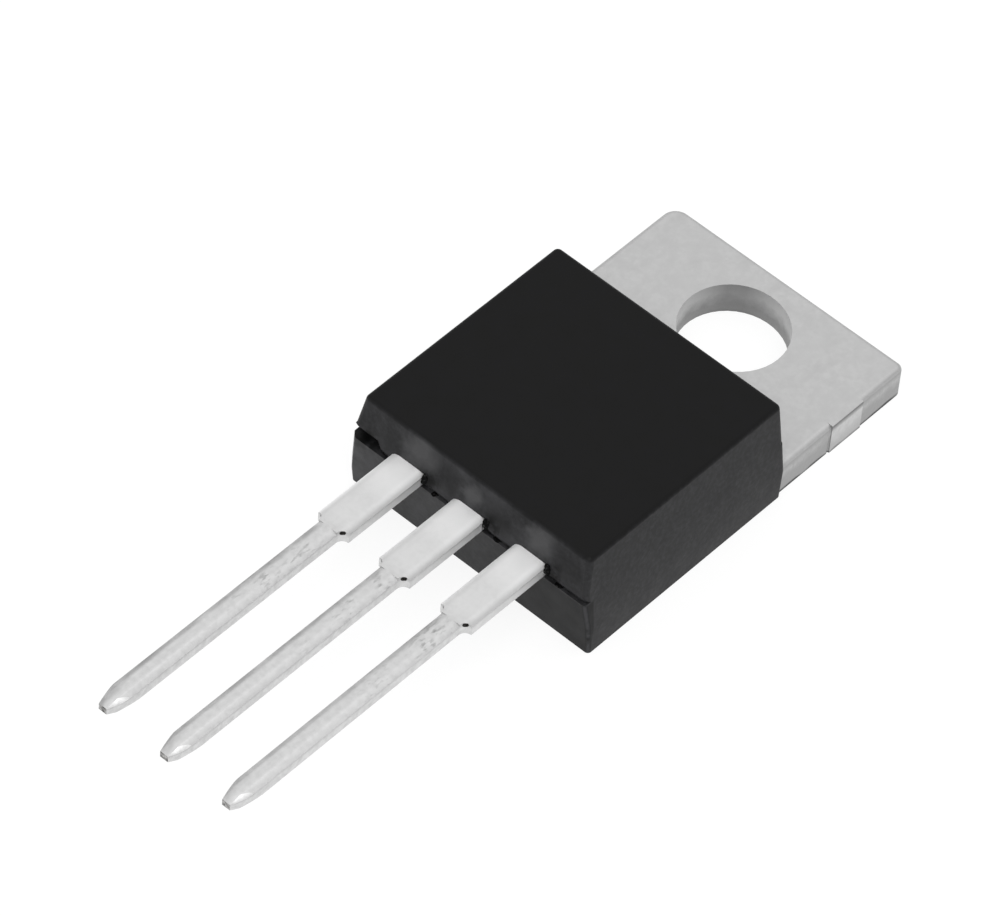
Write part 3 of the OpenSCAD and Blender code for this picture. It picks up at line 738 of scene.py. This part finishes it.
def without(shape, cutter):
    """A bmesh less a cutter, whose own finish shows on the walls that the cut leaves."""
    holders = []
    for name, part, finishes in (("whole", shape, (mould_compound, broken_resin)),
                                 ("cutter", cutter, (broken_resin,))):
        mesh = bpy.data.meshes.new(name)
        part.to_mesh(mesh)
        part.free()
        for finish in finishes:
            mesh.materials.append(finish)
        holders.append(bpy.data.objects.new(name, mesh))
        bpy.context.scene.collection.objects.link(holders[-1])
    whole, tool = holders
    cut = whole.modifiers.new("cut", "BOOLEAN")
    cut.object = tool
    cut.solver = "EXACT"
    cut.material_mode = "TRANSFER"
    done = whole.evaluated_get(bpy.context.evaluated_depsgraph_get())
    result = bmesh.new()
    result.from_mesh(done.to_mesh())
    for holder in holders:
        bpy.data.objects.remove(holder)
    return result


crumbs = bmesh.new()
for number, (x, z, half_length, radius) in enumerate(CRUMBS, 10):
    lumpy_ball(crumbs, (x, LUMP_Y, z), (half_length, LUMP_DEPTH, radius), number)
resin = without(resin, crumbs)
print("broke out", len(CRUMBS), "crumbs")
as_piece(resin, "resin_body", "moulded_body", "mould_compound", mould_compound, broken_resin)

# %% Leave crusts of flash beside the leads
CRUSTS = ((-1.82, 0.23), (0.72, 0.24), (3.26, 0.25))        # x and half the height, in mm
crusts = bmesh.new()
for number, (x, half_height) in enumerate(CRUSTS, 30):
    lumpy_ball(crusts, (x, LUMP_Y, 2.8), (0.12, LUMP_DEPTH, half_height), number)
as_piece(crusts, "flash_crusts", "moulded_body", "mould_compound", broken_resin, sharp=80)

# %% [markdown]
# ## The leads
# A lead's broad faces keep their tin, its sheared sides are cloudier, its blunt tip is bare,
# the pit in its right shoulder is painted dark as painted shade, and the bevels at the right of
# its tip are painted as highlights. Which is which can be read from the faces' directions and
# places, so nothing has to be picked by hand.

# %% Sort a lead's faces by finish
UPRIGHT = 0.3                   # a wall's normal rises less than this
PIT_AXIS = Vector((-0.5, 0.5, -math.sqrt(0.5)))      # into the metal at a lead's right shoulder
PIT_MOUTH = Vector((0.449 * MM, SHOULDER_Y + 0.191 * MM, LEDGE_Z + 0.38 * MM))
PIT_REACH = 0.3 * MM
BEVEL_L = 1.2 * MM
LEAD_FINISHES = (matte_tin, tinned_side, cut_tip, shaded_pit, highlighted_facet)
SIDE, TIP, PIT, BEVEL = range(1, 5)     # and 0 is tin


def in_pit(face, lead_x):
    """Whether a face is a wall or the floor of the pit in one of a lead's shoulders."""
    place = face.calc_center_median() - Vector((lead_x, 0, 0))
    mirror = Vector((1 if place.x > 0 else -1, 1, 1))
    near = (place - PIT_MOUTH * mirror).length < PIT_REACH
    slant = face.normal.dot(PIT_AXIS * mirror)      # 0 for its walls and -1 for its floor
    return near and (abs(slant) < 0.06 or slant < -0.97)


def finish_lead(shape, lead_x):
    """Gives each face of a lead the number of its finish."""
    counts = [0] * len(LEAD_FINISHES)
    for face in shape.faces:
        place, normal = face.calc_center_median(), face.normal
        if in_pit(face, lead_x):
            face.material_index = PIT if place.x > lead_x else SIDE     # only the right pit is painted dark, as painted shade; the left one keeps the sides' finish
        elif place.y < TIP_Y + 0.01 * MM and normal.y < -0.9:
            face.material_index = TIP
        elif place.y < TIP_Y + BEVEL_L and 0.45 < abs(normal.z) < 0.85 and normal.x > 0.45:
            face.material_index = BEVEL     # it faces up or down and to the right at once, and is painted as a highlight
        elif abs(normal.z) < UPRIGHT:
            face.material_index = SIDE
        counts[face.material_index] += 1
    print("tin, side, tip, pit and bevel faces:", counts)
    return shape


as_piece(finish_lead(welded("gate_lead"), -LEAD_PITCH), "gate_lead_tinned", "gate_lead",
         "tinned_lead", *LEAD_FINISHES)
as_piece(finish_lead(welded("source_lead"), LEAD_PITCH), "source_lead_tinned", "source_lead",
         "tinned_lead", *LEAD_FINISHES)

# %% [markdown]
# ## The tab and the drain lead
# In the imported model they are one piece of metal, as they are on the real one. Only the lead
# is tinned, so the copy is cut in two just inside the resin, where the join can't be seen,
# and both cuts are closed.

# %% Cut the heat-sink tab's copy inside the resin
CUT_Y = BODY_LOW.y + 0.5 * MM
ON_CUT = 1e-8                   # what lies nearer to the cut than this lies on it


def half_of(node, cut_y, keep_front):
    """What lies on one side of cut_y in a node's copy, with the cut closed."""
    shape = welded(node)
    cut = bmesh.ops.bisect_plane(
        shape, geom=[*shape.verts, *shape.edges, *shape.faces], dist=ON_CUT,
        plane_co=(0, cut_y, 0), plane_no=(0, 1, 0),
        clear_outer=keep_front, clear_inner=not keep_front)
    rim = [e for e in cut["geom_cut"] if isinstance(e, bmesh.types.BMEdge)]
    bmesh.ops.contextual_create(shape, geom=rim)
    return shape


as_piece(finish_lead(half_of("heat_sink_tab", CUT_Y, True), 0), "drain_lead_tinned",
         "heat_sink_tab", "tinned_lead", *LEAD_FINISHES)

# %% Sort the tab's faces by finish and make it
TAB_FINISHES = (plated_tab, sheared_side, shaded_punched_hole, cut_tie_bar)
SHEARED, HOLE, TIE_BAR = range(1, 4)    # and 0 is plated


def finish_tab(shape):
    """Gives each face of the tab the number of its finish."""
    counts = [0] * len(TAB_FINISHES)
    for face in shape.faces:
        place = face.calc_center_median()
        if abs(face.normal.z) < UPRIGHT and place.y > BODY_HIGH.y:
            if place.xy.length < HOLE_R + 0.02 * MM:
                face.material_index = HOLE
            elif place.x > TAB_HIGH.x - 0.01 * MM:
                face.material_index = TIE_BAR
            else:
                face.material_index = SHEARED
        counts[face.material_index] += 1
    print("plated, side, hole and tie-bar faces:", counts)
    return shape


as_piece(finish_tab(half_of("heat_sink_tab", CUT_Y, False)), "tab_plate", "heat_sink_tab",
         "plated_tab", *TAB_FINISHES)

# %% [markdown]
# ## Floor, room and lamp
# The part lies on a white table in a bright room: the floor and the ceiling are white, the
# walls between them are grey, and one large soft lamp hangs over it. Metal shows the room
# more than its own colour, so the grey walls are what draws a thin dark line along every
# rolled edge. The table keeps a faint shadow, but glows for the eye and for reflections, so
# that it stays white without more light on the part.

# %% The floor
def make_floor():
    """White paint with a faint shadow, which looks pure white to the eye and to metal."""
    material = bpy.data.materials.new("white_table")
    material.use_nodes = True
    tree = material.node_tree
    tree.nodes.clear()
    rays = add(tree, "ShaderNodeLightPath").outputs
    seen = calc(tree, "MAXIMUM", rays["Is Camera Ray"], rays["Is Glossy Ray"])
    seen = calc(tree, "MAXIMUM", seen, rays["Is Transmission Ray"])
    paint = add(tree, "ShaderNodeBsdfDiffuse", {"Color": linear("#f2f2f2")})
    # the glow is a little over 1, so that with the paint's own light it comes out pure white
    lit = add(tree, "ShaderNodeEmission", {"Color": (1, 1, 1, 1), "Strength": 1.06})
    mixed = add(tree, "ShaderNodeMixShader", {0: all_of(tree, seen, 0.8), 1: paint.outputs[0],
                                              2: lit.outputs[0]})
    add(tree, "ShaderNodeOutputMaterial", {"Surface": mixed.outputs[0]})
    shape = bmesh.new()
    bmesh.ops.create_grid(shape, x_segments=1, y_segments=1, size=1.5)
    mesh = bpy.data.meshes.new("white_table")
    shape.to_mesh(mesh)
    shape.free()
    mesh.materials.append(material)
    floor = bpy.data.objects.new("white_table", mesh)
    floor.location.z = -0.002 * MM      # a hair below the part, so that no faces share a plane
    bpy.context.scene.collection.objects.link(floor)
    return floor


floor = make_floor()
print("floor of", [round(side, 1) for side in floor.dimensions], "m")

# %% The room
def make_room():
    """White below the horizon and overhead, with grey walls between."""
    world = bpy.data.worlds.new("bright_room")
    bpy.context.scene.world = world
    world.use_nodes = True
    tree = world.node_tree
    tree.nodes.clear()
    direction = add(tree, "ShaderNodeTexCoord").outputs["Generated"]
    height = add(tree, "ShaderNodeSeparateXYZ", {0: direction}).outputs[2]
    # the walls reach from 0.14 to 0.36 of the sky's height and fade at both ends
    strength = calc(tree, "MAXIMUM", ramp(tree, height, 0.0, 0.14, 1.0, 0.5),
                    ramp(tree, height, 0.36, 0.56, 0.5, 1.0))
    room = add(tree, "ShaderNodeBackground", {"Color": (1, 1, 1, 1), "Strength": strength})
    add(tree, "ShaderNodeOutputWorld", {"Surface": room.outputs[0]})
    return world


print("world", make_room().name)

# %% The lamp
def make_lamp(name, direction, distance, size, power):
    """A round soft lamp that looks at the part from a direction, in metres and watts."""
    lamp = bpy.data.lights.new(name, "AREA")
    lamp.shape = "DISK"
    lamp.size = size
    lamp.energy = power
    holder = bpy.data.objects.new(name, lamp)
    away = Vector(direction).normalized()
    holder.location = TARGET + away * distance
    holder.rotation_mode = "QUATERNION"
    holder.rotation_quaternion = away.to_track_quat("Z", "Y")
    bpy.context.scene.collection.objects.link(holder)
    return holder


softbox = make_lamp("overhead_softbox", (0.3, -0.4, 1.0), distance=0.4, size=0.3, power=0.5)
print("lamp", round(softbox.location.z / MM), "mm above the table")
bpy.context.scene.view_settings.view_transform = "Standard"
